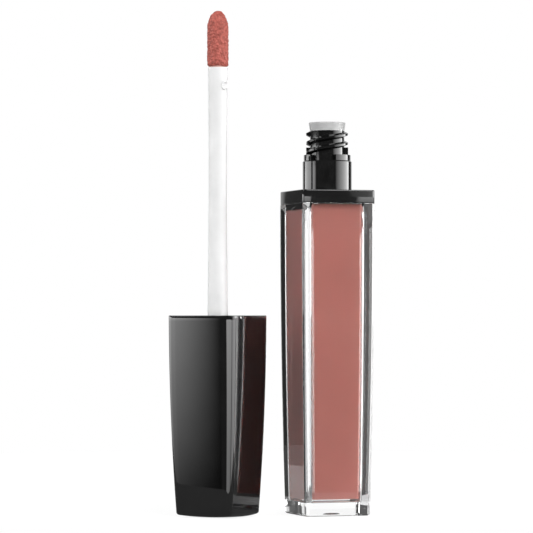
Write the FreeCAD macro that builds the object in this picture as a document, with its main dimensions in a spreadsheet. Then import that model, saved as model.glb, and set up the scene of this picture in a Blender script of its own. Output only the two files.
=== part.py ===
import FreeCAD, Part
import math
import os
import Sketcher
from FreeCAD import Placement, Rotation, Vector

# Lip gloss tube, opened: the bottle stands on its base and the applicator
# stands beside it on the closed end of its cap, with the wand pointing up.
# Frame: origin at the centre of the bottle's base on the table, +Z up, X and Y
# square to the bottle's faces. Sizes are in millimetres.

SIZES = {
    # square section of the closed tube, where the collar meets the cap
    "collar_side": 15.4,
    "collar_corner": 0.8,
    # thick clear bottle
    "bottle_base_side": 13.7,
    "bottle_top_side": 15.32,
    "bottle_bow": 0.2,
    "bottle_corner": 0.9,
    "bottle_height": 62.0,
    "dimple_radius": 2.4,
    "dimple_depth": 0.6,
    "gate_radius": 0.45,
    "gate_height": 0.4,
    # thin vial that lines the bottle, and the gloss in it
    "well_base": 3.3,
    "well_base_side": 9.4,
    "well_top_side": 10.2,
    "well_bow": 0.1,
    "well_corner": 0.3,
    "vial_wall": 0.55,
    "vial_base": 2.7,
    "vial_corner": 0.6,
    "vial_gap": 0.06,
    "fill_gap": 0.02,
    # collar and neck
    "collar_height": 2.6,
    "collar_recess": 1.5,
    "neck_flange_radius": 6.2,
    "neck_flange_height": 1.4,
    "collar_gap": 0.03,
    "boss_radius": 4.92,
    "boss_height": 6.0,
    "boss_edge": 0.2,
    "boss_step": 0.2,
    "boss_foot": 0.15,
    "lug_radius": 4.7,
    "lug_height": 1.15,
    "lug_angle": 106.0,
    "neck_radius": 3.45,
    "neck_height": 12.0,
    "neck_bore": 2.95,
    "crest_radius": 4.2,
    "thread_lead": 3.7,
    "thread_turns": 1.0,
    "thread_first": 72.3,
    "thread_root_half": 0.62,
    "thread_crest_half": 0.2,
    "stop_width": 0.9,
    "stop_base": 71.5,
    "stop_height": 1.8,
    # wiper
    "wiper_flange_base": 76.9,
    "wiper_flange_low": 3.48,
    "wiper_flange_high": 3.7,
    "wiper_top": 78.3,
    "wiper_mouth": 3.15,
    "wiper_body": 2.92,
    "wiper_body_base": 67.5,
    "wiper_throat": 2.35,
    "wiper_throat_top": 73.0,
    "wiper_lip_base": 66.4,
    "wiper_lip_radius": 2.3,
    "orifice_radius": 1.725,
    "orifice_top": 68.0,
    # applicator, measured upwards from the closed end of the cap
    "cap_x": -23.19,
    "cap_y": -0.98,
    "cap_yaw": -46.3,
    "cap_height": 39.7,
    "cap_end_side": 12.55,
    "cap_rim_side": 15.25,
    "cap_bow": 0.27,
    "cap_corner": 1.5,
    "cap_end_corner": 0.9,
    "cap_wall": 1.2,
    "cap_floor": 2.2,
    "crown_radius": 60.0,
    "rim_recess": 0.5,
    "liner_gap": 0.02,
    "liner_plate": 1.4,
    "liner_tube": 5.65,
    "boss_socket": 5.03,
    "boss_socket_floor": 32.4,
    "thread_socket": 4.3,
    "thread_socket_floor": 25.8,
    "thread_socket_tube": 5.1,
    "inner_crest": 3.6,
    "inner_thread_first": 28.2,
    "stem_socket_tube": 3.3,
    "stem_socket_floor": 17.5,
    "liner_end": 16.0,
    # wand
    "running_gap": 0.03,
    "stem_root": 17.8,
    "stem_root_radius": 2.0,
    "stem_low_radius": 2.03,
    "stem_waist": 61.5,
    "stem_waist_radius": 1.835,
    "stem_top": 88.7,
    "stem_top_radius": 1.94,
    "spigot_radius": 1.1,
    "spigot_top": 93.9,
    # flocked tip
    "core_base": 88.75,
    "core_radius": 1.75,
    "core_top": 99.5,
    "flock_base": 88.75,
    "flock_radius": 2.18,
    "flock_top": 100.0,
    "flock_nose": 3.8,
    "flock_gap": 0.01,
}

# Thread starts, lugs and stops around the neck, in degrees from +X.
START_ANGLES = [162.0, -18.0]
LUG_ANGLES = [-87.0, 93.0]
STOP_ANGLES = [160.0, -20.0]

doc = FreeCAD.newDocument("lip_gloss_tube")
sheet = doc.addObject("Spreadsheet::Sheet", "values")
for row, (word, size) in enumerate(SIZES.items(), start=1):
    sheet.set("A" + str(row), word)
    sheet.set("B" + str(row), str(size))
    sheet.setAlias("B" + str(row), word)
doc.recompute()


def number(terms):
    """Value of a sum such as "collar_side - 2.0 + rim_recess"."""
    total = 0.0
    sign = 1.0
    for word in terms.split():
        if word == "+":
            sign = 1.0
        elif word == "-":
            sign = -1.0
        elif word in SIZES:
            total += sign * SIZES[word]
        else:
            total += sign * float(word)
    return total


def formula(terms):
    """The same sum as an expression on the spreadsheet."""
    words = []
    for word in terms.split():
        if word in SIZES:
            words.append("values." + word)
        else:
            words.append(word)
    return " ".join(words)


def make_body(name, label):
    body = doc.addObject("PartDesign::Body", name)
    body.Label = label
    return body


def origin_plane(body, role):
    for feature in body.Origin.OriginFeatures:
        if feature.Role == role:
            return feature
    raise ValueError(role)


def attach(sketch, body, role):
    sketch.AttachmentSupport = [(origin_plane(body, role), "")]
    sketch.MapMode = "FlatFace"


def profile_sketch(body, name, points):
    """Closed outline of straight edges in the XZ plane, as (x terms, z terms)."""
    sketch = body.newObject("Sketcher::SketchObject", name)
    attach(sketch, body, "XZ_Plane")
    count = len(points)
    corners = [Vector(number(across), number(height), 0) for across, height in points]
    for index in range(count):
        after = corners[(index + 1) % count]
        sketch.addGeometry(Part.LineSegment(corners[index], after), False)
    for index in range(count):
        sketch.addConstraint(
            Sketcher.Constraint("Coincident", index, 2, (index + 1) % count, 1)
        )
    for index, (across, height) in enumerate(points):
        if abs(corners[index].x) < 1e-9:
            sketch.addConstraint(Sketcher.Constraint("PointOnObject", index, 1, -2))
        else:
            place = sketch.addConstraint(
                Sketcher.Constraint("DistanceX", -1, 1, index, 1, corners[index].x)
            )
            sketch.setExpression("Constraints[%d]" % place, formula(across))
        if abs(corners[index].y) < 1e-9:
            sketch.addConstraint(Sketcher.Constraint("PointOnObject", index, 1, -1))
        else:
            place = sketch.addConstraint(
                Sketcher.Constraint("DistanceY", -1, 1, index, 1, corners[index].y)
            )
            sketch.setExpression("Constraints[%d]" % place, formula(height))
    return sketch


def revolve(body, name, points, kind="Revolution"):
    sketch = profile_sketch(body, name + "_profile", points)
    feature = body.newObject("PartDesign::" + kind, name)
    feature.Profile = sketch
    feature.ReferenceAxis = (sketch, ["V_Axis"])
    feature.Angle = 360.0
    sketch.Visibility = False
    doc.recompute()
    return feature


def circle_sketch(body, name, radius, height):
    """Circle on the axis at a height."""
    sketch = body.newObject("Sketcher::SketchObject", name)
    attach(sketch, body, "XY_Plane")
    size = number(radius)
    sketch.addGeometry(Part.Circle(Vector(0, 0, 0), Vector(0, 0, 1), size), False)
    sketch.addConstraint(Sketcher.Constraint("Coincident", 0, 3, -1, 1))
    place = sketch.addConstraint(Sketcher.Constraint("Radius", 0, size))
    sketch.setExpression("Constraints[%d]" % place, formula(radius))
    sketch.AttachmentOffset = Placement(Vector(0, 0, number(height)), Rotation())
    sketch.setExpression("AttachmentOffset.Base.z", formula(height))
    sketch.Visibility = False
    return sketch


def bowed_face(low, high, base, top, bow, turned):
    """Upright outline of one pair of sides: flat ends, sides that bow outwards."""
    middle = (base + top) / 2.0
    widest = (low + high) / 4.0 + bow
    corners = [(-low / 2.0, base), (low / 2.0, base), (high / 2.0, top), (-high / 2.0, top)]
    points = []
    for across, height in corners + [(widest, middle), (-widest, middle)]:
        if turned:
            points.append(Vector(0, across, height))
        else:
            points.append(Vector(across, 0, height))
    edges = [
        Part.makeLine(points[0], points[1]),
        Part.Arc(points[1], points[4], points[2]).toShape(),
        Part.makeLine(points[2], points[3]),
        Part.Arc(points[3], points[5], points[0]).toShape(),
    ]
    return Part.Face(Part.Wire(edges))


def bowed_block(name, low, high, base, top, bow, corner, low_corner=None):
    """Tapered square block with four equally bowed sides and rounded corners."""
    reach = max(low, high) * 2.0
    along_x = bowed_face(low, high, base, top, bow, False)
    along_y = bowed_face(low, high, base, top, bow, True)
    one = along_x.extrude(Vector(0, 2.0 * reach, 0))
    one.translate(Vector(0, -reach, 0))
    other = along_y.extrude(Vector(2.0 * reach, 0, 0))
    other.translate(Vector(-reach, 0, 0))
    block = one.common(other)
    if len(block.Solids) == 1:
        block = block.Solids[0]
    uprights = []
    for edge in block.Edges:
        box = edge.BoundBox
        if box.ZLength > 0.9 * (top - base):
            uprights.append(edge)
    item = doc.addObject("Part::Feature", name)
    if low_corner is None:
        item.Shape = block.makeFillet(corner, uprights)
    else:
        item.Shape = tapered_corners(block, low_corner, corner, top - base)
    return item


def tapered_corners(shape, low_corner, high_corner, height):
    """Round the four uprights with a radius that changes from the foot to the top."""
    for side_x, side_y in ((1, 1), (-1, 1), (-1, -1), (1, -1)):
        for edge in shape.Edges:
            box = edge.BoundBox
            if box.ZLength < 0.9 * height or box.Center.x * side_x < 0 or box.Center.y * side_y < 0:
                continue
            first, last = edge.Vertexes[0].Z, edge.Vertexes[-1].Z
            if first < last:
                shape = shape.makeFillet(low_corner, high_corner, [edge])
            else:
                shape = shape.makeFillet(high_corner, low_corner, [edge])
            break
    return shape


def cut_from(name, base, tool):
    item = doc.addObject("Part::Cut", name)
    item.Label = name
    item.Base = base
    item.Tool = tool
    return item


def stand_on_cap(item, yaw):
    """Bring a piece drawn on the Z axis to the applicator's place."""
    item.Placement = Placement(
        Vector(SIZES["cap_x"], SIZES["cap_y"], 0), Rotation(Vector(0, 0, 1), yaw)
    )
    item.setExpression("Placement.Base.x", "values.cap_x")
    item.setExpression("Placement.Base.y", "values.cap_y")


def ridge(name, lead, turns, first, core, crest, angle, root_half, crest_half):
    """One start of a right-hand thread, as a swept trapezium."""
    path = Part.makeHelix(lead, lead * turns, core)
    outline = [
        Vector(core, 0, -root_half),
        Vector(crest, 0, -crest_half),
        Vector(crest, 0, crest_half),
        Vector(core, 0, root_half),
    ]
    outline.append(outline[0])
    sweep = Part.BRepOffsetAPI.MakePipeShell(Part.Wire(path.Edges))
    sweep.setFrenetMode(True)
    sweep.add(Part.makePolygon(outline))
    sweep.build()
    sweep.makeSolid()
    solid = sweep.shape()
    if solid.Volume < 0:
        solid.reverse()
    item = doc.addObject("Part::Feature", name)
    item.Shape = solid
    item.Placement = Placement(Vector(0, 0, first), Rotation(Vector(0, 0, 1), angle))
    return item


# ---- bottle -------------------------------------------------------
bottle_form = bowed_block(
    "bottle_form", number("bottle_base_side"), number("bottle_top_side"),
    0.0, number("bottle_height"), number("bottle_bow"), number("bottle_corner"),
)
bottle_hollow = bowed_block(
    "bottle_hollow",
    number("well_base_side + vial_wall + vial_wall + vial_gap + vial_gap"),
    number("well_top_side + vial_wall + vial_wall + vial_gap + vial_gap"),
    number("vial_base - vial_gap"), number("bottle_height"), number("well_bow"),
    number("vial_corner + vial_gap"),
)
base_dimple = make_body("base_dimple", "base dimple")
revolve(
    base_dimple, "dimple_turned",
    [
        ("0.0", "gate_height"),
        ("gate_radius", "gate_height"),
        ("gate_radius + 0.15", "dimple_depth"),
        ("dimple_radius - 1.0", "dimple_depth"),
        ("dimple_radius", "0.0"),
        ("dimple_radius", "0.0 - 0.5"),
        ("0.0", "0.0 - 0.5"),
    ],
)
bottle_walls = cut_from("bottle_walls", bottle_form, bottle_hollow)
doc.recompute()
bottle = cut_from("bottle", bottle_walls, base_dimple)

# ---- inner vial ----------------------------------------------------------
vial_form = bowed_block(
    "vial_form",
    number("well_base_side + vial_wall + vial_wall"),
    number("well_top_side + vial_wall + vial_wall"),
    number("vial_base"), number("bottle_height"), number("well_bow"), number("vial_corner"),
)
vial_hollow = bowed_block(
    "vial_hollow", number("well_base_side"), number("well_top_side"),
    number("well_base"), number("bottle_height"), number("well_bow"), number("well_corner"),
)
inner_vial = cut_from("inner_vial", vial_form, vial_hollow)

# ---- gloss ---------------------------------------------------------------
gloss_fill = bowed_block(
    "gloss_fill",
    number("well_base_side - fill_gap - fill_gap"),
    number("well_top_side - fill_gap - fill_gap"),
    number("well_base + fill_gap"), number("bottle_height - fill_gap"),
    number("well_bow"), number("well_corner"),
)
gloss_fill.Label = "gloss_fill"

# ---- collar --------------------------------------------------------------
collar_form = doc.addObject("Part::Box", "collar_form")
collar_form.setExpression("Length", "values.collar_side")
collar_form.setExpression("Width", "values.collar_side")
collar_form.setExpression("Height", "values.collar_height")
collar_half = SIZES["collar_side"] / 2.0
collar_form.Placement = Placement(
    Vector(-collar_half, -collar_half, number("bottle_height")), Rotation()
)
doc.recompute()
collar_rounded = doc.addObject("Part::Fillet", "collar_rounded")
collar_rounded.Base = collar_form
rounded_edges = []
for index, edge in enumerate(collar_form.Shape.Edges, start=1):
    if edge.BoundBox.ZLength > 1.0:
        rounded_edges.append((index, SIZES["collar_corner"], SIZES["collar_corner"]))
collar_rounded.Edges = rounded_edges
collar_hole = make_body("collar_hole", "collar hole")
revolve(
    collar_hole, "collar_hole_turned",
    [
        ("0.0", "bottle_height - 1.0"),
        ("neck_flange_radius + collar_gap", "bottle_height - 1.0"),
        ("neck_flange_radius + collar_gap", "bottle_height + collar_recess"),
        ("boss_radius - boss_step + collar_gap", "bottle_height + collar_recess"),
        ("boss_radius - boss_step + collar_gap", "bottle_height + collar_height + 1.0"),
        ("0.0", "bottle_height + collar_height + 1.0"),
    ],
)
collar = cut_from("collar", collar_rounded, collar_hole)

# ---- neck insert ---------------------------------------------------------
neck_core = make_body("neck_core", "neck core")
revolve(
    neck_core, "neck_turned",
    [
        ("0.0", "bottle_height"),
        ("neck_flange_radius", "bottle_height"),
        ("neck_flange_radius", "bottle_height + neck_flange_height"),
        ("boss_radius - boss_step", "bottle_height + neck_flange_height"),
        ("boss_radius - boss_step", "bottle_height + collar_height + boss_foot"),
        ("boss_radius", "bottle_height + collar_height + boss_foot"),
        ("boss_radius", "bottle_height + collar_height + boss_height - boss_edge"),
        ("boss_radius - boss_edge", "bottle_height + collar_height + boss_height"),
        ("neck_radius", "bottle_height + collar_height + boss_height"),
        ("neck_radius", "bottle_height + collar_height + neck_height"),
        ("0.0", "bottle_height + collar_height + neck_height"),
    ],
)
neck_pieces = [neck_core]
for index, angle in enumerate(START_ANGLES):
    neck_pieces.append(
        ridge(
            "neck_thread_" + str(index + 1), SIZES["thread_lead"], SIZES["thread_turns"],
            SIZES["thread_first"], SIZES["neck_radius"] - 0.15, SIZES["crest_radius"], angle,
            SIZES["thread_root_half"], SIZES["thread_crest_half"],
        )
    )
boss_top = number("bottle_height + collar_height + boss_height")
for index, angle in enumerate(LUG_ANGLES):
    lug = doc.addObject("Part::Cylinder", "lug_" + str(index + 1))
    lug.setExpression("Radius", "values.lug_radius")
    lug.setExpression("Height", "values.lug_height + 0.2")
    lug.setExpression("Angle", "values.lug_angle")
    lug.Placement = Placement(Vector(0, 0, boss_top - 0.2), Rotation(Vector(0, 0, 1), angle))
    neck_pieces.append(lug)
for index, angle in enumerate(STOP_ANGLES):
    stop = doc.addObject("Part::Box", "stop_" + str(index + 1))
    stop.setExpression("Length", "values.crest_radius - 3.0")
    stop.setExpression("Width", "values.stop_width")
    stop.setExpression("Height", "values.stop_height")
    turned = Rotation(Vector(0, 0, 1), angle)
    start = turned.multVec(Vector(3.0, -SIZES["stop_width"] / 2.0, 0))
    stop.Placement = Placement(start + Vector(0, 0, SIZES["stop_base"]), turned)
    neck_pieces.append(stop)
neck_solid = doc.addObject("Part::MultiFuse", "neck_solid")
neck_solid.Shapes = neck_pieces
neck_bore = doc.addObject("Part::Cylinder", "neck_bore")
neck_bore.setExpression("Radius", "values.neck_bore")
neck_bore.setExpression("Height", "values.collar_height + values.neck_height + 2.0")
neck_bore.Placement = Placement(Vector(0, 0, number("bottle_height - 1.0")), Rotation())
neck_insert = doc.addObject("Part::Cut", "neck_insert")
neck_insert.Label = "neck_insert"
neck_insert.Base = neck_solid
neck_insert.Tool = neck_bore
doc.recompute()

# ---- wiper ---------------------------------------------------------------
wiper = make_body("wiper", "wiper")
revolve(
    wiper, "wiper_turned",
    [
        ("orifice_radius", "wiper_lip_base"),
        ("wiper_lip_radius", "wiper_lip_base"),
        ("wiper_body", "wiper_body_base"),
        ("wiper_body", "bottle_height + collar_height + neck_height"),
        ("wiper_flange_low", "bottle_height + collar_height + neck_height"),
        ("wiper_flange_low", "wiper_flange_base"),
        ("wiper_flange_high", "wiper_top - 0.15"),
        ("wiper_flange_high - 0.15", "wiper_top"),
        ("wiper_mouth", "wiper_top"),
        ("wiper_throat", "wiper_throat_top"),
        ("wiper_throat", "orifice_top + 1.6"),
        ("orifice_radius", "orifice_top"),
    ],
)

# ---- cap shell -----------------------------------------------------------
cap_form = bowed_block(
    "cap_form", number("cap_end_side"), number("cap_rim_side"),
    0.0, number("cap_height"), number("cap_bow"), number("cap_corner"),
    number("cap_end_corner"),
)
cap_hollow = bowed_block(
    "cap_hollow",
    number("cap_end_side - cap_wall - cap_wall"),
    number("cap_rim_side - cap_wall - cap_wall"),
    0.0, number("cap_height"), number("cap_bow"), number("cap_corner - cap_wall"),
)
cap_floor = doc.addObject("Part::Box", "cap_floor_block")
cap_floor.Length = 30.0
cap_floor.Width = 30.0
cap_floor.setExpression("Height", "values.cap_floor + 5.0")
cap_floor.Placement = Placement(Vector(-15.0, -15.0, -5.0), Rotation())
cap_room = cut_from("cap_room", cap_hollow, cap_floor)
cap_walls = cut_from("cap_walls", cap_form, cap_room)
doc.recompute()
crown = doc.addObject("Part::Sphere", "crown_ball")
crown.setExpression("Radius", "values.crown_radius")
crown.Placement = Placement(Vector(0, 0, SIZES["crown_radius"]), Rotation())
cap_shell = doc.addObject("Part::Common", "cap_shell")
cap_shell.Label = "cap_shell"
cap_shell.Base = cap_walls
cap_shell.Tool = crown
doc.recompute()
stand_on_cap(cap_shell, SIZES["cap_yaw"])

# ---- cap liner -----------------------------------------------------------
plate_side = number("cap_rim_side - cap_wall - cap_wall - liner_gap - liner_gap - 0.04")
liner_plate = bowed_block(
    "liner_plate_form", plate_side - 0.02, plate_side,
    number("cap_height - rim_recess - liner_plate"), number("cap_height - rim_recess"),
    0.0005, number("cap_corner - cap_wall"),
)
liner_core = make_body("liner_core", "liner core")
revolve(
    liner_core, "liner_tube_form",
    [
        ("0.0", "liner_end"),
        ("stem_socket_tube", "liner_end"),
        ("stem_socket_tube", "thread_socket_floor - 0.8"),
        ("thread_socket_tube", "thread_socket_floor - 0.8"),
        ("thread_socket_tube", "boss_socket_floor - 0.8"),
        ("liner_tube", "boss_socket_floor - 0.8"),
        ("liner_tube", "cap_height - rim_recess - 0.5"),
        ("0.0", "cap_height - rim_recess - 0.5"),
    ],
)
liner_block = doc.addObject("Part::MultiFuse", "liner_block")
liner_block.Shapes = [liner_core, liner_plate]
socket_core = make_body("socket_core", "socket core")
revolve(
    socket_core, "socket_turned",
    [
        ("0.0", "stem_socket_floor"),
        ("stem_root_radius + running_gap", "stem_socket_floor"),
        ("stem_root_radius + running_gap", "thread_socket_floor"),
        ("thread_socket", "thread_socket_floor"),
        ("thread_socket", "boss_socket_floor"),
        ("boss_socket", "boss_socket_floor"),
        ("boss_socket", "cap_height + 1.0"),
        ("0.0", "cap_height + 1.0"),
    ],
)
liner_bored = doc.addObject("Part::Cut", "liner_bored")
liner_bored.Base = liner_block
liner_bored.Tool = socket_core
inner_ridges = []
for index, angle in enumerate((0.0, 180.0)):
    inner_ridges.append(
        ridge(
            "inner_thread_" + str(index + 1), SIZES["thread_lead"], 0.9,
            SIZES["inner_thread_first"], SIZES["thread_socket"] + 0.15, SIZES["inner_crest"],
            angle, 0.5, 0.18,
        )
    )
cap_liner = doc.addObject("Part::MultiFuse", "cap_liner")
cap_liner.Label = "cap_liner"
cap_liner.Shapes = [liner_bored] + inner_ridges
doc.recompute()
stand_on_cap(cap_liner, SIZES["cap_yaw"])

# ---- wand stem -----------------------------------------------------------
wand_stem = make_body("wand_stem", "wand_stem")
revolve(
    wand_stem, "stem_root_form",
    [
        ("0.0", "stem_root"),
        ("stem_root_radius - 0.3", "stem_root"),
        ("stem_root_radius", "stem_root + 0.3"),
        ("stem_root_radius", "boss_socket_floor"),
        ("stem_low_radius", "boss_socket_floor"),
        ("stem_low_radius", "cap_height - 1.0"),
        ("0.0", "cap_height - 1.0"),
    ],
)
waist_rings = [
    circle_sketch(wand_stem, "stem_ring_1", "stem_low_radius", "cap_height - 1.0"),
    circle_sketch(wand_stem, "stem_ring_2", "stem_waist_radius", "stem_waist"),
    circle_sketch(wand_stem, "stem_ring_3", "stem_top_radius", "stem_top"),
]
doc.recompute()
stem_waist = wand_stem.newObject("PartDesign::AdditiveLoft", "stem_waisted")
stem_waist.Profile = waist_rings[0]
stem_waist.Sections = waist_rings[1:]
stem_waist.Ruled = False
doc.recompute()
revolve(
    wand_stem, "stem_spigot",
    [
        ("0.0", "stem_top - 1.0"),
        ("spigot_radius", "stem_top - 1.0"),
        ("spigot_radius", "spigot_top"),
        ("0.0", "spigot_top"),
    ],
)
stand_on_cap(wand_stem, 0.0)

# ---- tip core and flock --------------------------------------------------
nose_base = number("flock_top - flock_nose")


def nose_points(radius, top, base):
    """Points on the rounded nose, a quarter of an ellipse."""
    points = []
    for step in range(1, 6):
        angle = math.radians(90.0 * step / 6.0)
        points.append((radius * math.cos(angle), base + (top - base) * math.sin(angle)))
    return points


def nose_profile(radius, base, low_edge, nose_low, top, hollow):
    """Half outline of a bullet, closed along its own inner outline."""
    wall = [Vector(r, 0, z) for r, z in nose_points(radius, top, nose_low)]
    nose = Part.BSplineCurve()
    nose.interpolate(
        Points=[Vector(radius, 0, nose_low)] + wall + [Vector(0, 0, top)],
        Tangents=[Vector(0, 0, 1), Vector(-1, 0, 0)],
    )
    edges = [nose.toShape()]
    low = [Vector(r, 0, z) for r, z in hollow]
    low.append(Vector(radius - low_edge, 0, base))
    chain = [Vector(0, 0, top)] + low
    for one, other in zip(chain, chain[1:]):
        edges.append(Part.makeLine(one, other))
    bend = low_edge * (1.0 - math.sqrt(0.5))
    middle = Vector(radius - bend, 0, base + bend)
    edges.append(
        Part.Arc(
            Vector(radius - low_edge, 0, base), middle, Vector(radius, 0, base + low_edge)
        ).toShape()
    )
    edges.append(Part.makeLine(Vector(radius, 0, base + low_edge), Vector(radius, 0, nose_low)))
    ordered = Part.sortEdges(edges)[0]
    return Part.Face(Part.Wire(ordered))


spin = (Vector(0, 0, 0), Vector(0, 0, 1))
core_hollow = [
    (0.0, number("spigot_top + 0.3")),
    (number("spigot_radius + running_gap"), number("spigot_top + 0.3")),
    (number("spigot_radius + running_gap"), number("core_base")),
]
core_face = nose_profile(
    SIZES["core_radius"], SIZES["core_base"], 0.2, nose_base, SIZES["core_top"], core_hollow
)
core_shape = core_face.revolve(spin[0], spin[1], 360.0)
tip_core = doc.addObject("Part::Feature", "tip_core")
tip_core.Label = "tip_core"
tip_core.Shape = core_shape
stand_on_cap(tip_core, 0.0)

flock_face = nose_profile(
    SIZES["flock_radius"], SIZES["flock_base"], 0.7, nose_base, SIZES["flock_top"],
    [(0.0, SIZES["flock_base"])],
)
flock_shape = flock_face.revolve(spin[0], spin[1], 360.0)
room_face = nose_profile(
    number("core_radius + flock_gap"), SIZES["core_base"], 0.2, nose_base,
    number("core_top + flock_gap"), [(0.0, SIZES["core_base"])],
)
room_shape = room_face.revolve(spin[0], spin[1], 360.0)
foot = Part.makeCylinder(
    number("core_radius + flock_gap"), 1.0, Vector(0, 0, SIZES["core_base"] - 0.6)
)
flock_shape = flock_shape.cut(room_shape.fuse(foot))
tip_flock = doc.addObject("Part::Feature", "tip_flock")
tip_flock.Label = "tip_flock"
tip_flock.Shape = flock_shape
stand_on_cap(tip_flock, 0.0)

doc.recompute()

# ---- export --------------------------------------------------------------
NODES = [
    bottle, inner_vial, gloss_fill, collar, neck_insert, wiper,
    cap_shell, cap_liner, wand_stem, tip_core, tip_flock,
]
for item in doc.Objects:
    if "Invalid" in item.State or "Error" in item.State:
        raise RuntimeError("bad state: " + item.Name + " " + str(item.State))
os.makedirs("parts", exist_ok=True)
for node in NODES:
    shape = node.Shape
    if shape.isNull() or not shape.isValid():
        raise RuntimeError("bad shape: " + node.Label)
    if len(shape.Solids) != 1:
        raise RuntimeError("not one solid: " + node.Label + " " + str(len(shape.Solids)))
    box = shape.BoundBox
    print(
        "%-13s volume %9.2f  x %7.2f %7.2f  y %7.2f %7.2f  z %7.2f %7.2f"
        % (node.Label, shape.Volume, box.XMin, box.XMax, box.YMin, box.YMax, box.ZMin, box.ZMax)
    )
    shape.exportStep("parts/" + node.Label + ".step")
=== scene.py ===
import math
import bpy
from mathutils import Matrix, Vector


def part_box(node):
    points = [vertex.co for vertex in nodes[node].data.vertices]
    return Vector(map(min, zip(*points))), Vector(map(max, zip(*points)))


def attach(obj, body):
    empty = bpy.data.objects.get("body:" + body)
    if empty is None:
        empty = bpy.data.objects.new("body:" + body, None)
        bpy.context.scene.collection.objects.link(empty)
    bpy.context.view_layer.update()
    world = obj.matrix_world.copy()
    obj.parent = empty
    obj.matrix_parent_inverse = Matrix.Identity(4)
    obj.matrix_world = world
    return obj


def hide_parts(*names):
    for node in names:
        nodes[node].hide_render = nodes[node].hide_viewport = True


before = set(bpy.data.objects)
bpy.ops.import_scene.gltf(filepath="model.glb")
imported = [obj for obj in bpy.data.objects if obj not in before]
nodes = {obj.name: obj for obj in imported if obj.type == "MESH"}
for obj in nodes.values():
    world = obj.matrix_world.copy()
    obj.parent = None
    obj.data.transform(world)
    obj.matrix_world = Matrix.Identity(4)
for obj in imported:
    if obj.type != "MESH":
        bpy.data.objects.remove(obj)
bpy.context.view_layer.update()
scene = bpy.context.scene
scene.view_settings.view_transform = "Standard"

# Lip gloss tube, opened: the square clear bottle stands on its base, and the
# applicator stands beside it on the closed end of its cap. Each shape is a stack
# of rings in millimetres, round the bottle's axis, the cap's or the stem's.

MM = 0.001
FACE_STEPS = 14
CORNER_STEPS = 14


def box_mm(node):
    low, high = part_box(node)
    return [c / MM for c in low], [c / MM for c in high]


# ---------------------------------------------------------------- mesh tools
def outline(half, corner, crown):
    """Rounded square as points; crown is the half angle of each side's slight arc."""
    a = math.radians(crown)
    radius = (half + corner * (math.sin(a) - math.cos(a))) / (1.0 + math.sin(a) - math.cos(a))
    centre = (radius - corner) * math.sin(a)
    quarter = []
    for i in range(FACE_STEPS):
        t = -a + 2.0 * a * i / FACE_STEPS
        quarter.append((half - radius * (1.0 - math.cos(t)), radius * math.sin(t)))
    for i in range(CORNER_STEPS):
        t = a + (math.pi / 2.0 - 2.0 * a) * i / CORNER_STEPS
        quarter.append((centre + corner * math.cos(t), centre + corner * math.sin(t)))
    points = []
    for turn in range(4):
        c, s = math.cos(turn * math.pi / 2.0), math.sin(turn * math.pi / 2.0)
        points += [(x * c - y * s, x * s + y * c) for x, y in quarter]
    return points


def bowed_half(low, high, base, top, bow):
    """Half width at a height: widths low and high at base and top, bowed between."""
    length = math.hypot(top - base, (high - low) / 2.0)
    radius = (length * length / 4.0 + bow * bow) / (2.0 * bow)

    def half(z):
        t = (z - base) / (top - base)
        chord = low / 2.0 + (high - low) / 2.0 * t
        along = (t - 0.5) * length
        sag = math.sqrt(max(radius * radius - along * along, 0.0)) - (radius - bow)
        return chord + sag

    return half


def circle_like(points, radius):
    """The points moved onto a circle, each in its own direction."""
    return [(x / math.hypot(x, y) * radius, y / math.hypot(x, y) * radius) for x, y in points]


def at_height(points, z):
    return [(x, y, z) for x, y in points]


def flat_rings(shape, shares, z):
    """Copies of a shape shrunk towards the axis, at one height."""
    return [at_height([(x * share, y * share) for x, y in shape], z) for share in shares]


def heights(start, end, steps):
    """Even heights from start to end, both included."""
    return [start + (end - start) * i / steps for i in range(steps + 1)]


def bevel_levels(steps):
    """Pairs (inset share, rise share) round a quarter circle, from end face to side."""
    levels = []
    for i in range(steps + 1):
        t = math.pi / 2.0 * i / steps
        levels.append((1.0 - math.sin(t), 1.0 - math.cos(t)))
    return levels


def ring_mesh(name, rings, body, replaced, place=(0.0, 0.0), yaw=0.0, close=True):
    """Skin of quads over a stack of equal-count rings of (x, y, z) points in mm."""
    count = len(rings[0])
    verts = []
    for ring in rings:
        verts += [Vector(p) * MM for p in ring]
    faces = []
    for r in range(len(rings) - 1):
        for i in range(count):
            j = (i + 1) % count
            faces.append((r * count + i, r * count + j, (r + 1) * count + j, (r + 1) * count + i))
    if close:
        first = len(verts)
        low = sum((Vector(p) for p in rings[0]), Vector()) / count
        high = sum((Vector(p) for p in rings[-1]), Vector()) / count
        verts += [low * MM, high * MM]
        last = (len(rings) - 1) * count
        for i in range(count):
            j = (i + 1) % count
            faces.append((j, i, first))
            faces.append((last + i, last + j, first + 1))
    mesh = bpy.data.meshes.new(name)
    mesh.from_pydata([tuple(v) for v in verts], [], faces)
    mesh.update()
    shift = Matrix.Translation((place[0] * MM, place[1] * MM, 0))
    mesh.transform(shift @ Matrix.Rotation(yaw, 4, "Z"))
    for poly in mesh.polygons:
        poly.use_smooth = True
    piece = bpy.data.objects.new(name, mesh)
    scene.collection.objects.link(piece)
    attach(piece, body)
    if replaced:
        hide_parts(*replaced)
    return piece


# ---------------------------------------------------------------- sizes, in mm
bottle_high = box_mm("bottle")[1]
gloss_high = box_mm("gloss_fill")[1]
collar_low, collar_high = box_mm("collar")
cap_low, cap_high = box_mm("cap_shell")
stem_low, stem_high = box_mm("wand_stem")

# a rounded edge also tightens the corners: by how much, for each mm it is inset
# on the bottle, and in all at the foot of a well
EDGE_TIGHTENS = 0.6
FOOT_TIGHTENS = 0.1

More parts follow.
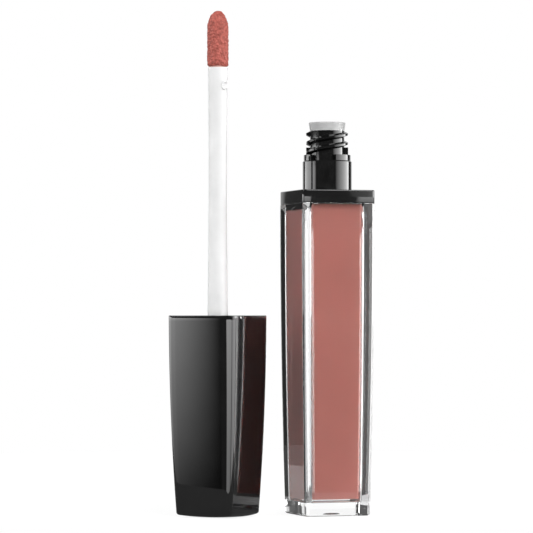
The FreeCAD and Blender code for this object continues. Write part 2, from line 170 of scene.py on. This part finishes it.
# bottle: outer wall, and the hollow that holds the vial
BOTTLE_H = bottle_high[2]
BOTTLE_TOP = bottle_high[0] * 2.0
BOTTLE_BASE = 13.7
BOTTLE_BOW = 0.2
BOTTLE_CORNER = 0.9
BOTTLE_CROWN = 0.5
BOTTLE_FOOT = 0.45
BOTTLE_RIM = 0.12
HOLLOW_BASE = 2.64
HOLLOW_CORNER = 0.66
HOLLOW_WALL = 0.61

# dimple under the base with the moulding gate in it: radius and height of each ring
DIMPLE = [(0.2, 0.41), (0.38, 0.42), (0.5, 0.52), (0.62, 0.6), (0.9, 0.62), (1.4, 0.6),
          (1.7, 0.5), (2.0, 0.3), (2.25, 0.08), (2.4, 0.02), (2.6, 0.0)]
DIMPLE_EDGE = 2.6

# vial, and the well inside it
WELL_BASE = 3.3
WELL_BASE_SIDE = 9.4
WELL_TOP_SIDE = 10.2
WELL_BOW = 0.1
WELL_CORNER = 0.3
WELL_CROWN = 0.3
WELL_FOOT = 0.2
VIAL_BASE = 2.7
VIAL_WALL = 0.55
VIAL_CORNER = 0.6

# gloss, a hair wider than the well so that it wets the wall
WETTING = 0.03
FILL_BASE = WELL_BASE - WETTING
FILL_TOP = gloss_high[2]
FILL_CORNER = WELL_CORNER + WETTING

# collar and cap share their crown
CROWN = 2.4

# collar
COLLAR_BASE = collar_low[2]
COLLAR_TOP = collar_high[2]
COLLAR_HALF = collar_high[0]
COLLAR_CORNER = 0.8
COLLAR_LOWER_EDGE = 0.15
COLLAR_UPPER_EDGE = 0.2
COLLAR_RECESS = 1.5
RECESS_RADIUS = 6.23
RECESS_EDGE = 0.05
HOLE_RADIUS = 4.75
HOLE_EDGE = 0.15
HOLE_EDGE_DEPTH = 0.1
SHARP = 0.02

# cap shell
CAP_AXIS = ((cap_low[0] + cap_high[0]) / 2.0, (cap_low[1] + cap_high[1]) / 2.0)
CAP_YAW = math.radians(-46.3)
CAP_H = cap_high[2]
CAP_END = 12.55
CAP_RIM = 15.25
CAP_BOW = 0.27
CAP_END_CORNER = 0.9
CAP_RIM_CORNER = 1.5
CAP_WALL = 1.2
CAP_FLOOR = 2.2
END_DOME = 60.0
END_INSET = 0.55
END_TIGHTENS = 0.3
END_EDGE = 0.6
EDGE_TOP = 1.0
SIDE_START = 1.6
RIM_EDGE = 0.12
ROOM_EDGE = 0.1
ROOM_CORNER = 0.3

# mark left by the mould on the stem's side, under the tip: radius of each ring, and
# how far it stands out from the stem
STEM_AXIS = ((stem_low[0] + stem_high[0]) / 2.0, (stem_low[1] + stem_high[1]) / 2.0)
STEM_RADIUS = 1.925
GATE_HEIGHT = 85.0
GATE_ANGLE = math.radians(-62.0)
GATE_STEPS = 24
GATE = [(0.85, -0.03), (0.83, 0.08), (0.74, 0.1), (0.62, 0.08), (0.56, 0.02), (0.3, 0.02), (0.05, 0.02)]

# ---------------------------------------------------------------- bottle
bottle_at = bowed_half(BOTTLE_BASE, BOTTLE_TOP, 0.0, BOTTLE_H, BOTTLE_BOW)
hollow_at = bowed_half(WELL_BASE_SIDE + 2.0 * HOLLOW_WALL, WELL_TOP_SIDE + 2.0 * HOLLOW_WALL,
                       HOLLOW_BASE, BOTTLE_H, WELL_BOW)


def bottle_outline(z, inset):
    return outline(bottle_at(z) - inset, BOTTLE_CORNER - inset * EDGE_TIGHTENS, BOTTLE_CROWN)


def bottle_ring(z, inset=0.0):
    return at_height(bottle_outline(z, inset), z)


def side_rings(half_at, corner, start, end, steps=29):
    """Sides of the hollow, the vial, the well or the gloss, from one height to another."""
    return [at_height(outline(half_at(z), corner, WELL_CROWN), z) for z in heights(start, end, steps)]


def foot_rings(half_at, corner, base):
    """Rounded foot of the same, from its floor up to just under its side."""
    rings = []
    for inset, rise in bevel_levels(3)[:-1]:
        z = base + WELL_FOOT * rise
        shape = outline(half_at(z) - WELL_FOOT * inset, corner - FOOT_TIGHTENS * inset, WELL_CROWN)
        rings.append(at_height(shape, z))
    return rings


def floor_rings(half_at, corner, base, shares):
    """Flat floor of the same."""
    return flat_rings(outline(half_at(base) - WELL_FOOT, corner, WELL_CROWN), shares, base)


base_shape = bottle_outline(0.0, BOTTLE_FOOT)
rings = [at_height(circle_like(base_shape, radius), height) for radius, height in DIMPLE]
for share in (0.3, 0.6, 0.85, 1.0):
    between = []
    for (x, y), (cx, cy) in zip(base_shape, circle_like(base_shape, DIMPLE_EDGE)):
        between.append((cx + (x - cx) * share, cy + (y - cy) * share))
    rings.append(at_height(between, 0.0))
rings += [bottle_ring(BOTTLE_FOOT * rise, BOTTLE_FOOT * inset) for inset, rise in bevel_levels(6)[1:-1]]
rings += [bottle_ring(z) for z in heights(BOTTLE_FOOT, BOTTLE_H - BOTTLE_RIM, 39)]
for inset, rise in reversed(bevel_levels(3)[:-1]):
    rings.append(bottle_ring(BOTTLE_H - BOTTLE_RIM * rise, BOTTLE_RIM * inset))
rings += side_rings(hollow_at, HOLLOW_CORNER, BOTTLE_H, HOLLOW_BASE + WELL_FOOT)
rings += reversed(foot_rings(hollow_at, HOLLOW_CORNER, HOLLOW_BASE))
rings += floor_rings(hollow_at, HOLLOW_CORNER - FOOT_TIGHTENS, HOLLOW_BASE, (0.9, 0.5, 0.2))
bottle = ring_mesh("bottle_wall", rings, "container", ["bottle"])

# ---------------------------------------------------------------- inner vial
vial_at = bowed_half(WELL_BASE_SIDE + 2.0 * VIAL_WALL, WELL_TOP_SIDE + 2.0 * VIAL_WALL,
                     VIAL_BASE, BOTTLE_H, WELL_BOW)
well_at = bowed_half(WELL_BASE_SIDE, WELL_TOP_SIDE, WELL_BASE, BOTTLE_H, WELL_BOW)
rings = floor_rings(vial_at, VIAL_CORNER - FOOT_TIGHTENS, VIAL_BASE, (0.2, 0.6, 0.95))
rings += foot_rings(vial_at, VIAL_CORNER, VIAL_BASE)
rings += side_rings(vial_at, VIAL_CORNER, VIAL_BASE + WELL_FOOT, BOTTLE_H)
rings += side_rings(well_at, WELL_CORNER, BOTTLE_H, WELL_BASE + WELL_FOOT)
rings += reversed(foot_rings(well_at, WELL_CORNER, WELL_BASE))
rings += floor_rings(well_at, WELL_CORNER - FOOT_TIGHTENS, WELL_BASE, (0.6, 0.2))
vial = ring_mesh("vial_wall", rings, "container", ["inner_vial"])

# ---------------------------------------------------------------- gloss
fill_at = bowed_half(WELL_BASE_SIDE + 2.0 * WETTING, WELL_TOP_SIDE + 2.0 * WETTING,
                     FILL_BASE, FILL_TOP, WELL_BOW)
rings = floor_rings(fill_at, WELL_CORNER, FILL_BASE, (0.4, 0.95))
rings += foot_rings(fill_at, FILL_CORNER, FILL_BASE)
rings += side_rings(fill_at, FILL_CORNER, FILL_BASE + WELL_FOOT, FILL_TOP, 39)
rings += flat_rings(outline(fill_at(FILL_TOP), FILL_CORNER, WELL_CROWN), (0.5,), FILL_TOP)
gloss = ring_mesh("gloss_body", rings, "container", ["gloss_fill"])

# ---------------------------------------------------------------- collar
collar_shape = outline(COLLAR_HALF, COLLAR_CORNER, CROWN)
recess = circle_like(collar_shape, RECESS_RADIUS)
hole = circle_like(collar_shape, HOLE_RADIUS)


def collar_ring(inset, z):
    return at_height(outline(COLLAR_HALF - inset, COLLAR_CORNER - inset, CROWN), z)


rings = [
    at_height(recess, COLLAR_BASE + COLLAR_RECESS),
    at_height(recess, COLLAR_BASE + SHARP),
    at_height(circle_like(collar_shape, RECESS_RADIUS + RECESS_EDGE), COLLAR_BASE),
]
for inset, rise in bevel_levels(4):
    rings.append(collar_ring(COLLAR_LOWER_EDGE * inset, COLLAR_BASE + COLLAR_LOWER_EDGE * rise))
rings.append(at_height(collar_shape, (COLLAR_BASE + COLLAR_TOP) / 2.0))
for inset, rise in reversed(bevel_levels(5)):
    rings.append(collar_ring(COLLAR_UPPER_EDGE * inset, COLLAR_TOP - COLLAR_UPPER_EDGE * rise))
rings += [
    at_height(circle_like(collar_shape, HOLE_RADIUS + HOLE_EDGE), COLLAR_TOP),
    at_height(circle_like(collar_shape, HOLE_RADIUS + SHARP), COLLAR_TOP - HOLE_EDGE_DEPTH),
    at_height(hole, COLLAR_BASE + COLLAR_RECESS + SHARP),
    at_height(hole, COLLAR_BASE + COLLAR_RECESS),
    at_height(recess, COLLAR_BASE + COLLAR_RECESS),
]
collar = ring_mesh("collar_plate", rings, "container", ["collar"], close=False)

# ---------------------------------------------------------------- cap shell
cap_at = bowed_half(CAP_END, CAP_RIM, 0.0, CAP_H, CAP_BOW)
room_at = bowed_half(CAP_END - 2.0 * CAP_WALL, CAP_RIM - 2.0 * CAP_WALL, 0.0, CAP_H, CAP_BOW)


def cap_outline(z):
    corner = CAP_END_CORNER + (CAP_RIM_CORNER - CAP_END_CORNER) * z / CAP_H
    return outline(cap_at(z), corner, CROWN)


def dome(x, y):
    return END_DOME - math.sqrt(END_DOME * END_DOME - x * x - y * y)


end_shape = outline(cap_at(END_EDGE) - END_INSET, CAP_END_CORNER - END_TIGHTENS, CROWN)
rings = []
for share in (0.08, 0.25, 0.45, 0.65, 0.85, 1.0):
    rings.append([(x * share, y * share, dome(x * share, y * share)) for x, y in end_shape])
for inset, rise in bevel_levels(6)[1:]:
    ring = []
    for (x, y), (side_x, side_y) in zip(end_shape, cap_outline(EDGE_TOP)):
        grow = 1.0 - inset
        ring.append((x + (side_x - x) * grow, y + (side_y - y) * grow, dome(x, y) + END_EDGE * rise))
    rings.append(ring)
for z in heights(SIDE_START, CAP_H - RIM_EDGE, 39)[1:]:
    rings.append(at_height(cap_outline(z), z))
for inset, rise in reversed(bevel_levels(4)[:-1]):
    z = CAP_H - RIM_EDGE * rise
    shape = outline(cap_at(z) - RIM_EDGE * inset, CAP_RIM_CORNER - RIM_EDGE * inset, CROWN)
    rings.append(at_height(shape, z))
rings.append(at_height(outline(room_at(CAP_H) + ROOM_EDGE, ROOM_CORNER + ROOM_EDGE, CROWN), CAP_H))
for z in heights(CAP_H - ROOM_EDGE, CAP_FLOOR, 19):
    rings.append(at_height(outline(room_at(z), ROOM_CORNER, CROWN), z))
rings += flat_rings(outline(room_at(CAP_FLOOR), ROOM_CORNER, CROWN), (0.5,), CAP_FLOOR)
cap = ring_mesh("cap_outer", rings, "applicator", ["cap_shell"], CAP_AXIS, CAP_YAW)

# ---------------------------------------------------------------- stem gate mark
rings = []
for radius, rise in GATE:
    ring = []
    for i in range(GATE_STEPS):
        t = 2.0 * math.pi * i / GATE_STEPS
        turn = GATE_ANGLE + radius * math.cos(t) / STEM_RADIUS
        reach = STEM_RADIUS + rise
        ring.append((reach * math.cos(turn), reach * math.sin(turn), GATE_HEIGHT + radius * math.sin(t)))
    rings.append(ring)
gate_mark = ring_mesh("stem_gate_mark", rings, "wand", None, STEM_AXIS)


# ---------------------------------------------------------------- node tools
def new_material(name):
    mat = bpy.data.materials.new(name)
    mat.use_nodes = True
    tree = mat.node_tree
    tree.nodes.clear()
    out = tree.nodes.new("ShaderNodeOutputMaterial")
    shader = tree.nodes.new("ShaderNodeBsdfPrincipled")
    tree.links.new(shader.outputs["BSDF"], out.inputs["Surface"])
    return mat, tree, shader


def set_material(piece, mat):
    piece.data.materials.clear()
    piece.data.materials.append(mat)


def object_space(tree):
    place = tree.nodes.new("ShaderNodeTexCoord")
    return place.outputs["Object"]


def noise(tree, vector, scale, detail=3.0, rough=0.5):
    node = tree.nodes.new("ShaderNodeTexNoise")
    node.inputs["Scale"].default_value = scale
    node.inputs["Detail"].default_value = detail
    node.inputs["Roughness"].default_value = rough
    tree.links.new(vector, node.inputs["Vector"])
    return node.outputs["Fac"]


def ramp(tree, source, low, high):
    """Colour between two, over the middle part of a noise."""
    node = tree.nodes.new("ShaderNodeValToRGB")
    for element, position, colour in zip(node.color_ramp.elements, (0.3, 0.7), (low, high)):
        element.position = position
        element.color = colour
    tree.links.new(source, node.inputs["Fac"])
    return node.outputs["Color"]


def map_range(tree, source, low, high, to_low, to_high):
    node = tree.nodes.new("ShaderNodeMapRange")
    node.inputs["From Min"].default_value = low
    node.inputs["From Max"].default_value = high
    node.inputs["To Min"].default_value = to_low
    node.inputs["To Max"].default_value = to_high
    tree.links.new(source, node.inputs["Value"])
    return node.outputs["Result"]


def calculate(tree, operation, first, second):
    node = tree.nodes.new("ShaderNodeMath")
    node.operation = operation
    tree.links.new(first, node.inputs[0])
    tree.links.new(second, node.inputs[1])
    return node.outputs["Value"]


def bump(tree, shader, height, strength, distance):
    node = tree.nodes.new("ShaderNodeBump")
    node.inputs["Strength"].default_value = strength
    node.inputs["Distance"].default_value = distance
    tree.links.new(height, node.inputs["Height"])
    tree.links.new(node.outputs["Normal"], shader.inputs["Normal"])


def grey(value):
    return (value, value, value, 1.0)


def mottled(name, low, high, colour_noise, rough_low, rough_high, rough_noise):
    """Principled material whose colour and roughness each drift between two values."""
    mat, tree, shader = new_material(name)
    vec = object_space(tree)
    tree.links.new(ramp(tree, noise(tree, vec, *colour_noise), low, high), shader.inputs["Base Color"])
    drift = noise(tree, vec, *rough_noise)
    tree.links.new(map_range(tree, drift, 0.3, 0.7, rough_low, rough_high), shader.inputs["Roughness"])
    return mat, tree, shader


# ---------------------------------------------------------------- materials
# noises, as scale, detail and, for the flock's colour, roughness
CLEAR_TINT = (90.0, 2.0)
CLEAR_POLISH = (900.0, 3.0)
BLACK_TINT = (220.0, 4.0)
BLACK_POLISH = (700.0, 5.0)
MILKY_TINT = (200.0, 3.0)
MILKY_POLISH = (900.0, 4.0)
GLOSS_TINT = (60.0, 3.0)
GLOSS_POLISH = (300.0, 3.0)
FLOCK_TINT = (1800.0, 4.0, 0.6)
FLOCK_POLISH = (2500.0, 3.0)
FLOCK_GRAIN = (2600.0, 3.0)
LINER_GRAIN = (2500.0, 3.0)


def clear_plastic(name, tint_low, tint_high, ior):
    mat, tree, shader = mottled(name, tint_low, tint_high, CLEAR_TINT, 0.0, 0.02, CLEAR_POLISH)
    shader.inputs["Transmission Weight"].default_value = 1.0
    shader.inputs["IOR"].default_value = ior
    return mat


def black_plastic(name, low, high, rough_low, rough_high, ior):
    mat, tree, shader = mottled(name, grey(low), grey(high), BLACK_TINT,
                                rough_low, rough_high, BLACK_POLISH)
    shader.inputs["IOR"].default_value = ior
    return mat


def milky(name, low, high, rough_low, rough_high, through):
    mat, tree, shader = mottled(name, low, high, MILKY_TINT, rough_low, rough_high, MILKY_POLISH)
    shader.inputs["Subsurface Weight"].default_value = through
    shader.inputs["Subsurface Radius"].default_value = (1.0, 1.0, 1.0)
    shader.inputs["Subsurface Scale"].default_value = 0.0015
    return mat


set_material(bottle, clear_plastic("clear_wall", (0.97, 0.975, 0.975, 1), grey(1.0), 1.5))
set_material(vial, clear_plastic("clear_vial", grey(0.97), grey(1.0), 1.5))

# pink gloss wets the clear wall, so it has no shine of its own
gloss_pink, tree, shader = mottled("gloss_pink", (0.78, 0.325, 0.280, 1), (0.82, 0.350, 0.304, 1),
                                   GLOSS_TINT, 0.5, 0.6, GLOSS_POLISH)
shader.inputs["Specular IOR Level"].default_value = 0.0
shader.inputs["Subsurface Weight"].default_value = 0.15
shader.inputs["Subsurface Radius"].default_value = (1.0, 0.45, 0.35)
shader.inputs["Subsurface Scale"].default_value = 0.001
set_material(gloss, gloss_pink)

# moulded black pieces, all polished except the liner
set_material(cap, black_plastic("cap_black", 0.002, 0.004, 0.02, 0.04, 1.6))
set_material(collar, black_plastic("collar_black", 0.004, 0.006, 0.04, 0.08, 1.5))
set_material(nodes["neck_insert"], black_plastic("neck_black", 0.002, 0.004, 0.04, 0.08, 1.5))
liner_black, tree, shader = mottled("liner_black", grey(0.012), grey(0.018),
                                    BLACK_TINT, 0.3, 0.4, BLACK_POLISH)
shader.inputs["IOR"].default_value = 1.46
bump(tree, shader, noise(tree, object_space(tree), *LINER_GRAIN), 0.2, 0.00002)
set_material(nodes["cap_liner"], liner_black)

# milky pieces, which let some light through
stem_plastic = milky("stem_plastic", grey(0.44), grey(0.49), 0.35, 0.45, 0.3)
set_material(nodes["wand_stem"], stem_plastic)
set_material(gate_mark, stem_plastic)
set_material(nodes["wiper"], milky("wiper_plastic", grey(0.25), grey(0.31), 0.25, 0.35, 0.3))
tip_rubber = milky("tip_rubber", (0.60, 0.32, 0.27, 1), (0.66, 0.36, 0.31, 1), 0.5, 0.6, 0.2)
set_material(nodes["tip_core"], tip_rubber)

# flock, wet with gloss: its short fibres stand up as fine grain
flock_mat, tree, shader = mottled("flock", (0.14, 0.030, 0.022, 1), (0.34, 0.085, 0.066, 1),
                                  FLOCK_TINT, 0.5, 0.7, FLOCK_POLISH)
shader.inputs["Specular IOR Level"].default_value = 0.2
bump(tree, shader, noise(tree, object_space(tree), *FLOCK_GRAIN), 0.8, 0.0001)
set_material(nodes["tip_flock"], flock_mat)
fine = nodes["tip_flock"].modifiers.new("fine", "REMESH")
fine.mode = "VOXEL"
fine.voxel_size = 0.00009
fine.use_smooth_shade = True
fibre = bpy.data.textures.new("fibre", "CLOUDS")
fibre.noise_scale = 0.00042
fibre.noise_depth = 1
fibre.noise_basis = "BLENDER_ORIGINAL"
grain = nodes["tip_flock"].modifiers.new("grain", "DISPLACE")
grain.texture = fibre
grain.texture_coords = "LOCAL"
grain.strength = 0.00030
grain.mid_level = 0.85

# ---------------------------------------------------------------- stage, in metres
VIEW_AZ = math.radians(-18.0)
MIDDLE = Vector((-0.012, 0.0, 0.0))
AIM = MIDDLE + Vector((0.0, 0.0, 0.05))
FLOOR_RADIUS = 0.17
FLOOR_BEHIND = 0.13
FLOOR_STEPS = 96
FLOOR_GLOW = 0.9
FLOOR_GLOW_MIRRORED = 0.1
WORLD_WHITE = 1.0
WORLD_DIM = 0.1
BACKDROP_INNER = math.radians(32.0)
BACKDROP_OUTER = math.radians(34.0)
CAMERA_BACK = 0.625
CAMERA_RIGHT = -0.01214
CAMERA_HEIGHT = 0.0392
CAMERA_TILT = math.radians(0.94415)
CAMERA_LENS = 211.07

# level directions from the objects: back to the camera, and to the camera's right
back = Vector((math.sin(VIEW_AZ), -math.cos(VIEW_AZ), 0.0))
right = Vector((math.cos(VIEW_AZ), math.sin(VIEW_AZ), 0.0))

# ---------------------------------------------------------------- floor
# white to the camera and straight through the clear plastic, half as bright after
# one reflection in it, and dim when mirrored
floor_mat, tree, shader = new_material("floor_white")
tint = ramp(tree, noise(tree, object_space(tree), 3.0), grey(0.10), grey(0.12))
tree.links.new(tint, shader.inputs["Base Color"])
shader.inputs["Roughness"].default_value = 0.9
shader.inputs["Specular IOR Level"].default_value = 0.0
shader.inputs["Emission Color"].default_value = grey(1.0)
path = tree.nodes.new("ShaderNodeLightPath")
direct = calculate(tree, "MAXIMUM", path.outputs["Is Camera Ray"], path.outputs["Is Transmission Ray"])
mirrored = map_range(tree, path.outputs["Glossy Depth"], 0.0, 2.0, 0.0, 1.0)
straight = calculate(tree, "SUBTRACT", direct, mirrored)
glow = map_range(tree, straight, 0.0, 1.0, FLOOR_GLOW_MIRRORED, FLOOR_GLOW)
tree.links.new(glow, shader.inputs["Emission Strength"])

floor_centre = MIDDLE - back * FLOOR_BEHIND
rim = []
for i in range(FLOOR_STEPS):
    t = 2.0 * math.pi * i / FLOOR_STEPS
    rim.append(floor_centre + Vector((math.cos(t), math.sin(t), 0.0)) * FLOOR_RADIUS)
floor_mesh = bpy.data.meshes.new("floor")
floor_mesh.from_pydata(rim, [], [tuple(range(FLOOR_STEPS))])
floor = bpy.data.objects.new("floor", floor_mesh)
scene.collection.objects.link(floor)
set_material(floor, floor_mat)

# ---------------------------------------------------------------- world
# a white backdrop behind the objects, dim elsewhere; the camera sees white all round
world = bpy.data.worlds.new("studio")
scene.world = world
world.use_nodes = True
tree = world.node_tree
tree.nodes.clear()


def background(strength):
    node = tree.nodes.new("ShaderNodeBackground")
    node.inputs["Color"].default_value = grey(1.0)
    node.inputs["Strength"].default_value = strength
    return node.outputs["Background"]


ray = tree.nodes.new("ShaderNodeTexCoord")
toward = tree.nodes.new("ShaderNodeVectorMath")
toward.operation = "DOT_PRODUCT"
toward.inputs[1].default_value = tuple(-back)
tree.links.new(ray.outputs["Generated"], toward.inputs[0])
backdrop = map_range(tree, toward.outputs["Value"],
                     math.cos(BACKDROP_OUTER), math.cos(BACKDROP_INNER), 0.0, 1.0)
path = tree.nodes.new("ShaderNodeLightPath")
white = calculate(tree, "MAXIMUM", path.outputs["Is Camera Ray"], backdrop)
mix = tree.nodes.new("ShaderNodeMixShader")
out = tree.nodes.new("ShaderNodeOutputWorld")
tree.links.new(white, mix.inputs["Fac"])
tree.links.new(background(WORLD_DIM), mix.inputs[1])
tree.links.new(background(WORLD_WHITE), mix.inputs[2])
tree.links.new(mix.outputs["Shader"], out.inputs["Surface"])

# ---------------------------------------------------------------- camera
cam_data = bpy.data.cameras.new("camera")
cam_data.sensor_width = 36.0
cam_data.lens = CAMERA_LENS
cam_data.clip_start = 0.05
cam_data.clip_end = 20.0
cam = bpy.data.objects.new("camera", cam_data)
scene.collection.objects.link(cam)
scene.camera = cam
cam.location = right * CAMERA_RIGHT + back * CAMERA_BACK + Vector((0, 0, CAMERA_HEIGHT))
look = -back * math.cos(CAMERA_TILT) + Vector((0, 0, 1)) * math.sin(CAMERA_TILT)
cam.rotation_mode = "QUATERNION"
cam.rotation_quaternion = look.to_track_quat("-Z", "Y")


# ---------------------------------------------------------------- lights
def direction(angle):
    """Level direction from the objects, in radians from the camera's, + to its right."""
    return back * math.cos(angle) + right * math.sin(angle)


def panel(name, first, last, distance, low, high, level, across, upward, fade=1.0):
    """Upright diffuser between two angles in degrees, and between two heights. Its
    light fades evenly from edge to edge, given as shares of its level: across, over
    its last share fade, and upward."""
    middle = math.radians((first + last) / 2.0)
    half = distance * math.tan(math.radians((last - first) / 2.0))
    outward = direction(middle)
    along = right * math.cos(middle) - back * math.sin(middle)
    mesh = bpy.data.meshes.new(name)
    corners = [(-half, low, 0), (half, low, 0), (half, high, 0), (-half, high, 0)]
    mesh.from_pydata(corners, [], [(0, 1, 2, 3)])
    diffuser = bpy.data.objects.new(name, mesh)
    scene.collection.objects.link(diffuser)
    turn = Matrix((along, Vector((0, 0, 1)), outward)).transposed().to_4x4()
    diffuser.matrix_world = Matrix.Translation(MIDDLE + outward * distance) @ turn
    diffuser.visible_camera = False
    mat = bpy.data.materials.new(name)
    mat.use_nodes = True
    tree = mat.node_tree
    tree.nodes.clear()
    out = tree.nodes.new("ShaderNodeOutputMaterial")
    light = tree.nodes.new("ShaderNodeEmission")
    place = tree.nodes.new("ShaderNodeTexCoord")
    split = tree.nodes.new("ShaderNodeSeparateXYZ")
    tree.links.new(place.outputs["Generated"], split.inputs["Vector"])
    share = map_range(tree, split.outputs["X"], 1.0 - fade, 1.0, *across)
    strength = map_range(tree, split.outputs["Y"], 0.0, 1.0, upward[0] * level, upward[1] * level)
    tree.links.new(calculate(tree, "MULTIPLY", share, strength), light.inputs["Strength"])
    tree.links.new(light.outputs["Emission"], out.inputs["Surface"])
    set_material(diffuser, mat)


def softbox(name, angle, distance, height, wide, tall, level):
    """Area light well above the horizon, so no upright face mirrors it."""
    data = bpy.data.lights.new(name, "AREA")
    data.shape = "RECTANGLE"
    data.size = wide
    data.size_y = tall
    data.energy = level * math.pi * wide * tall
    light = bpy.data.objects.new(name, data)
    scene.collection.objects.link(light)
    light.location = direction(math.radians(angle)) * distance + Vector((0, 0, height))
    light.rotation_mode = "QUATERNION"
    light.rotation_quaternion = (AIM - light.location).to_track_quat("-Z", "Y")
    light.visible_camera = False


# a soft studio: diffusers in front, to the left and to the right of the objects,
# and two softboxes overhead
panel("front_diffuser", first=-48.0, last=32.0, distance=1.0, low=-0.25, high=0.085,
      level=5.0, across=(1.0, 1.0), upward=(0.3, 1.0))
panel("front_right_diffuser", first=41.0, last=103.0, distance=1.0, low=-0.25, high=0.085,
      level=5.0, across=(1.0, 1.0), upward=(0.3, 1.0))
panel("left_diffuser", first=-130.0, last=-53.5, distance=0.8, low=-0.15, high=0.12,
      level=5.5, across=(1.0, 0.03), upward=(0.0, 1.0), fade=0.17)
panel("right_diffuser", first=40.0, last=118.0, distance=0.6, low=0.078, high=0.25,
      level=12.0, across=(0.05, 1.0), upward=(1.0, 1.0))
softbox("overhead", angle=30.0, distance=0.9, height=0.7, wide=0.8, tall=0.6, level=12.0)
softbox("overhead_left", angle=-80.0, distance=0.8, height=0.55, wide=0.6, tall=0.5, level=10.0)
